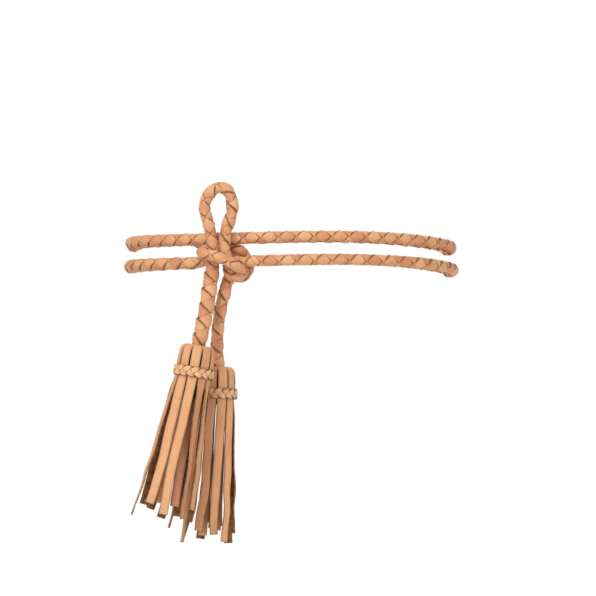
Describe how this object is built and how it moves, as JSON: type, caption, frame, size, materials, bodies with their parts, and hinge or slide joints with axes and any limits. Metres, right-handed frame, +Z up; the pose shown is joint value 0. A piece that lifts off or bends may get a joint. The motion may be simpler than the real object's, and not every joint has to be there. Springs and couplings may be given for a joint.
{
  "type": "braided leather belt",
  "caption": "Round-braided leather cord belt worn as two turns round the waist, tied in a half bow, its two tails ending in leather fringe tassels.",
  "frame": {"origin": "centre of the waist opening, midway between the two turns at the front", "axes": "+Z up along the wearer, +X towards the wearer's left side, the wearer faces -Y"},
  "size_m": [0.2684, 0.2325, 0.2836],
  "materials": {
    "cord_leather": "natural vegetable-tanned laces, matt to satin, round-braided",
    "tassel_leather": "smooth natural grain side, rough brown flesh side, cut edges",
    "ring_leather": "narrow natural laces, flat-braided, satin",
    "thread": "waxed brown thread, hidden in the head"
  },
  "bodies": {
    "waist_wrap": {"waist_turn_lower_right": "cord_leather", "waist_turn_lower_back": "cord_leather", "waist_crossing_outer": "cord_leather", "waist_turn_upper_left": "cord_leather", "waist_turn_upper_front": "cord_leather", "waist_turn_upper_right": "cord_leather", "waist_turn_upper_back": "cord_leather", "waist_crossing_inner": "cord_leather", "waist_turn_lower_left": "cord_leather", "knot_left_leg": "cord_leather", "knot_tuck": "cord_leather", "knot_right_lobe": "cord_leather", "knot_rear_pass": "cord_leather", "knot_rear_wrap": "cord_leather", "knot_left_bend": "cord_leather", "knot_front_band": "cord_leather", "knot_tail_root": "cord_leather"},
    "bow": {"bow_loop": "cord_leather"},
    "tail_a": {"tail_a": "cord_leather"},
    "tassel_a": {"tassel_a_lace_1": "tassel_leather", "tassel_a_lace_2": "tassel_leather", "tassel_a_lace_3": "tassel_leather", "tassel_a_lace_4": "tassel_leather", "tassel_a_lace_5": "tassel_leather", "tassel_a_lace_6": "tassel_leather", "tassel_a_lace_7": "tassel_leather", "tassel_a_lace_8": "tassel_leather", "tassel_a_lace_9": "tassel_leather", "tassel_a_lace_10": "tassel_leather", "tassel_a_core_lace_1": "tassel_leather", "tassel_a_core_lace_2": "tassel_leather", "tassel_a_core_lace_3": "tassel_leather", "tassel_a_core_lace_4": "tassel_leather", "tassel_a_neck_cord": "cord_leather", "tassel_a_stopper_knot": "cord_leather", "tassel_a_thread_tie": "thread", "tassel_a_neck_ring": "ring_leather"},
    "tail_b": {"tail_b": "cord_leather"},
    "tassel_b": {"tassel_b_lace_1": "tassel_leather", "tassel_b_lace_2": "tassel_leather", "tassel_b_lace_3": "tassel_leather", "tassel_b_lace_4": "tassel_leather", "tassel_b_lace_5": "tassel_leather", "tassel_b_lace_6": "tassel_leather", "tassel_b_lace_7": "tassel_leather", "tassel_b_lace_8": "tassel_leather", "tassel_b_lace_9": "tassel_leather", "tassel_b_lace_10": "tassel_leather", "tassel_b_core_lace_1": "tassel_leather", "tassel_b_core_lace_2": "tassel_leather", "tassel_b_core_lace_3": "tassel_leather", "tassel_b_core_lace_4": "tassel_leather", "tassel_b_neck_cord": "cord_leather", "tassel_b_stopper_knot": "cord_leather", "tassel_b_thread_tie": "thread", "tassel_b_neck_ring": "ring_leather"}
  },
  "joints": [
    {"name": "bow_flop", "type": "hinge", "parent": "waist_wrap", "child": "bow", "pos_m": [-0.06, -0.09223, 0.016], "axis": [1, 0, 0], "range_deg": [-10, 95]},
    {"name": "tail_a_sway", "type": "hinge", "parent": "waist_wrap", "child": "tail_a", "pos_m": [-0.0615, -0.09173, -0.0165], "axis": [0, 1, 0], "range_deg": [-15, 40]},
    {"name": "tassel_a_swing", "type": "hinge", "parent": "tail_a", "child": "tassel_a", "pos_m": [-0.0715, -0.11923, -0.0755], "axis": [-1, 0, 0], "range_deg": [0, 70]},
    {"name": "tail_b_sway", "type": "hinge", "parent": "waist_wrap", "child": "tail_b", "pos_m": [-0.051, -0.08403, -0.03], "axis": [0, 1, 0], "range_deg": [-40, 15]},
    {"name": "tassel_b_swing", "type": "hinge", "parent": "tail_b", "child": "tassel_b", "pos_m": [-0.057, -0.08673, -0.091], "axis": [0, 1, 0], "range_deg": [-40, 12]}
  ]
}
